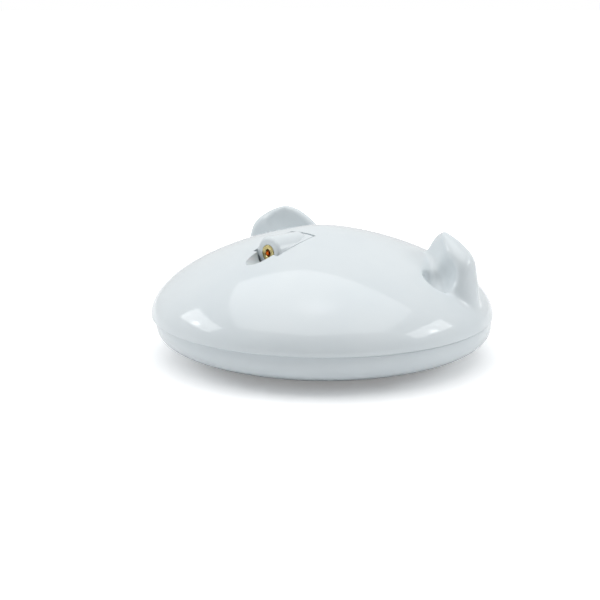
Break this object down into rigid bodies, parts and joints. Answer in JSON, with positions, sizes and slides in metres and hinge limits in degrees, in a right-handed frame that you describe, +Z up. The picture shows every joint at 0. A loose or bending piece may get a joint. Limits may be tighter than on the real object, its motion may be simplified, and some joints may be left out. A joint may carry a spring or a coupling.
{
  "type": "automatic cat laser toy",
  "caption": "Mouse-shaped cat toy whose white shell turns on a geared foot while a tilting brass laser module in its nose sweeps a dot over the floor.",
  "frame": {"origin": "on the floor under the spin axis, at the middle of the rubber foot pad's face", "axes": "+Z up along the spin axis, -Y towards the nose and the laser's opening, +X to the right as seen from in front of the nose"},
  "size_m": [0.142, 0.142, 0.0542],
  "materials": {
    "shell_white": "glossy cool-white ABS",
    "foot_plastic": "fine satin white ABS",
    "foot_rubber": "matt dark grey rubber",
    "gear_plastic": "satin natural acetal",
    "frame_plastic": "satin grey-white ABS",
    "zinc_steel": "zinc-plated steel",
    "module_brass": "turned bright brass",
    "lens_red": "clear red lens",
    "board_green": "green solder mask",
    "black_plastic": "black moulded plastic",
    "cell_wrap": "shrink-wrapped cell",
    "capacitor_sleeve": "dark blue sleeve",
    "lead_red": "red PVC insulation",
    "lead_black": "black PVC insulation"
  },
  "bodies": {
    "foot": {"turntable_foot": "foot_plastic", "foot_pad": "foot_rubber", "thrust_ring": "gear_plastic", "hub_gear": "gear_plastic", "hub_washer": "zinc_steel", "hub_screw": "zinc_steel"},
    "toy_body": {"lower_shell": "shell_white", "top_shell": "shell_white", "case_screws": "zinc_steel", "battery_door": "shell_white", "battery_door_screw": "zinc_steel", "battery_cells": "cell_wrap", "battery_springs": "zinc_steel", "battery_contacts": "zinc_steel", "circuit_board": "board_green", "board_screws": "zinc_steel", "tact_switch": "black_plastic", "control_chip": "black_plastic", "smoothing_capacitor": "capacitor_sleeve", "gear_plate": "frame_plastic", "gear_plate_screws": "zinc_steel", "gear_axles": "zinc_steel", "drive_motor": "zinc_steel", "motor_screws": "zinc_steel", "motor_leads": "lead_red", "battery_leads": "lead_black", "laser_leads": "lead_red", "hood_pivot_pin": "zinc_steel", "pivot_clip": "zinc_steel"},
    "intermediate_wheel": {"intermediate_gear": "gear_plastic"},
    "reduction_wheel": {"reduction_gear": "gear_plastic"},
    "rotor": {"motor_pinion": "module_brass", "motor_shaft": "zinc_steel"},
    "laser_unit": {"laser_hood": "shell_white", "laser_barrel": "module_brass", "laser_lens": "lens_red", "laser_diode": "zinc_steel", "diode_board": "board_green"},
    "button": {"power_button": "shell_white", "switch_plunger": "black_plastic"}
  },
  "joints": [
    {"name": "body_spin", "type": "hinge", "parent": "foot", "child": "toy_body", "pos_m": [0, 0, 0.01], "axis": [0, 0, 1], "continuous": true},
    {"name": "intermediate_spin", "type": "hinge", "parent": "toy_body", "child": "intermediate_wheel", "pos_m": [0.00388, -0.01449, 0.012], "axis": [0, 0, 1], "continuous": true},
    {"name": "reduction_spin", "type": "hinge", "parent": "toy_body", "child": "reduction_wheel", "pos_m": [-0.0014, -0.02582, 0.012], "axis": [0, 0, 1], "continuous": true},
    {"name": "rotor_spin", "type": "hinge", "parent": "toy_body", "child": "rotor", "pos_m": [0.00435, -0.03578, 0.012], "axis": [0, 0, 1], "continuous": true},
    {"name": "laser_tilt", "type": "hinge", "parent": "toy_body", "child": "laser_unit", "pos_m": [0, -0.017, 0.0398], "axis": [1, 0, 0], "range_deg": [-2, 8]},
    {"name": "button_press", "type": "slide", "parent": "toy_body", "child": "button", "axis": [0, 0, -1], "range_m": [0, 0.0012], "stiffness_N_per_m": 900, "springref_m": -0.0008}
  ],
  "couplings": [
    {"joint": "intermediate_spin", "follows": "body_spin", "ratio": 4},
    {"joint": "reduction_spin", "follows": "body_spin", "ratio": -16},
    {"joint": "rotor_spin", "follows": "body_spin", "ratio": 57.6}
  ]
}
